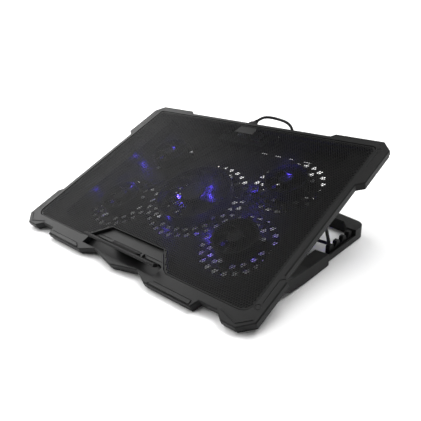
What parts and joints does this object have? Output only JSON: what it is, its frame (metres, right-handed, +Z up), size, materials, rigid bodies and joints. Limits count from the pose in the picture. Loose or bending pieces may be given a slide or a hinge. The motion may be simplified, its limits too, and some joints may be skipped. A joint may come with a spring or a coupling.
{
  "type": "laptop cooling pad",
  "caption": "Wedge-shaped laptop cooling tray with a perforated top, inset fans, a flip-up laptop stop and a folding toothed stand held by a wire prop.",
  "frame": {"origin": "centre of the footprint on the floor, with the tray tilted on its opened stand", "axes": "+X to the right of the user, +Y to the rear, away from the user, +Z up"},
  "size_m": [0.403, 0.3459, 0.1194],
  "materials": {
    "shell": "satin",
    "mesh": "matt",
    "trim": "semi-gloss",
    "stand": "matt",
    "rubber": "matt",
    "fan": "satin",
    "led": "clear, glowing blue",
    "steel": "satin",
    "wire": "satin",
    "board": "semi-gloss",
    "cord": "satin"
  },
  "bodies": {
    "tray": {"top_frame": "shell", "mesh_panel": "mesh", "bottom_cover": "shell", "badge_plate": "trim", "front_insert_left": "trim", "front_insert_right": "trim", "screw_caps": "rubber", "cover_screws": "steel", "front_foot_left": "rubber", "front_foot_right": "rubber", "fan_screws": "steel", "control_board": "board", "lead_block": "trim", "fan_leads": "cord", "usb_socket": "steel", "spare_socket": "steel", "dial_pot": "trim", "light_switch": "trim", "stand_pin_left": "steel", "stand_pin_right": "steel", "stop_pin": "steel", "prop_clip_left": "stand", "prop_clip_right": "stand", "usb_plug": "cord", "usb_plug_shell": "steel", "laptop_plug": "cord", "laptop_plug_shell": "steel", "usb_cord": "cord", "cord_coil": "cord", "fan_frame_front_left": "fan", "leds_front_left": "led", "fan_frame_front_right": "fan", "leds_front_right": "led", "fan_frame_rear_left": "fan", "leds_rear_left": "led", "fan_frame_rear_right": "fan", "leds_rear_right": "led", "fan_frame_middle": "fan", "leds_middle": "led"},
    "rotor_front_left": {"fan_rotor_front_left": "fan"},
    "rotor_front_right": {"fan_rotor_front_right": "fan"},
    "rotor_rear_left": {"fan_rotor_rear_left": "fan"},
    "rotor_rear_right": {"fan_rotor_rear_right": "fan"},
    "rotor_middle": {"fan_rotor_middle": "fan"},
    "stand": {"stand_frame": "stand", "rack_left": "stand", "rack_right": "stand", "stand_feet_left": "rubber", "stand_feet_right": "rubber"},
    "prop": {"prop_wire": "wire"},
    "stop": {"stop_flap": "shell"},
    "dial": {"speed_dial": "trim"},
    "button": {"light_button": "trim"}
  },
  "joints": [
    {"name": "stand_hinge", "type": "hinge", "parent": "tray", "child": "stand", "pos_m": [0, -0.07075, 0.01702], "axis": [1, 0, 0], "range_deg": [0, 19]},
    {"name": "prop_pivot", "type": "hinge", "parent": "tray", "child": "prop", "pos_m": [0, 0.03225, 0.06241], "axis": [1, 0, 0], "range_deg": [0, 57]},
    {"name": "stop_hinge", "type": "hinge", "parent": "tray", "child": "stop", "pos_m": [0, -0.11117, 0.01697], "axis": [1, 0, 0], "range_deg": [0, 45]},
    {"name": "dial_turn", "type": "hinge", "parent": "tray", "child": "dial", "pos_m": [0.034, 0.12757, 0.10092], "axis": [0, -0.3746, 0.9272], "range_deg": [0, 270]},
    {"name": "button_press", "type": "slide", "parent": "tray", "child": "button", "axis": [0, -0.9272, -0.3746], "range_m": [0, 0.0008], "stiffness_N_per_m": 600, "springref_m": -0.0004},
    {"name": "fan_spin_front_left", "type": "hinge", "parent": "tray", "child": "rotor_front_left", "pos_m": [-0.103, -0.03775, 0.03413], "axis": [0, -0.3746, 0.9272], "continuous": true},
    {"name": "fan_spin_front_right", "type": "hinge", "parent": "tray", "child": "rotor_front_right", "pos_m": [0.103, -0.03775, 0.03413], "axis": [0, -0.3746, 0.9272], "continuous": true},
    {"name": "fan_spin_rear_left", "type": "hinge", "parent": "tray", "child": "rotor_rear_left", "pos_m": [-0.103, 0.06053, 0.07383], "axis": [0, -0.3746, 0.9272], "continuous": true},
    {"name": "fan_spin_rear_right", "type": "hinge", "parent": "tray", "child": "rotor_rear_right", "pos_m": [0.103, 0.06053, 0.07383], "axis": [0, -0.3746, 0.9272], "continuous": true},
    {"name": "fan_spin_middle", "type": "hinge", "parent": "tray", "child": "rotor_middle", "pos_m": [0, 0.00305, 0.05061], "axis": [0, -0.3746, 0.9272], "continuous": true}
  ],
  "couplings": [
    {"joint": "prop_pivot", "follows": "stand_hinge", "ratio": 3}
  ]
}
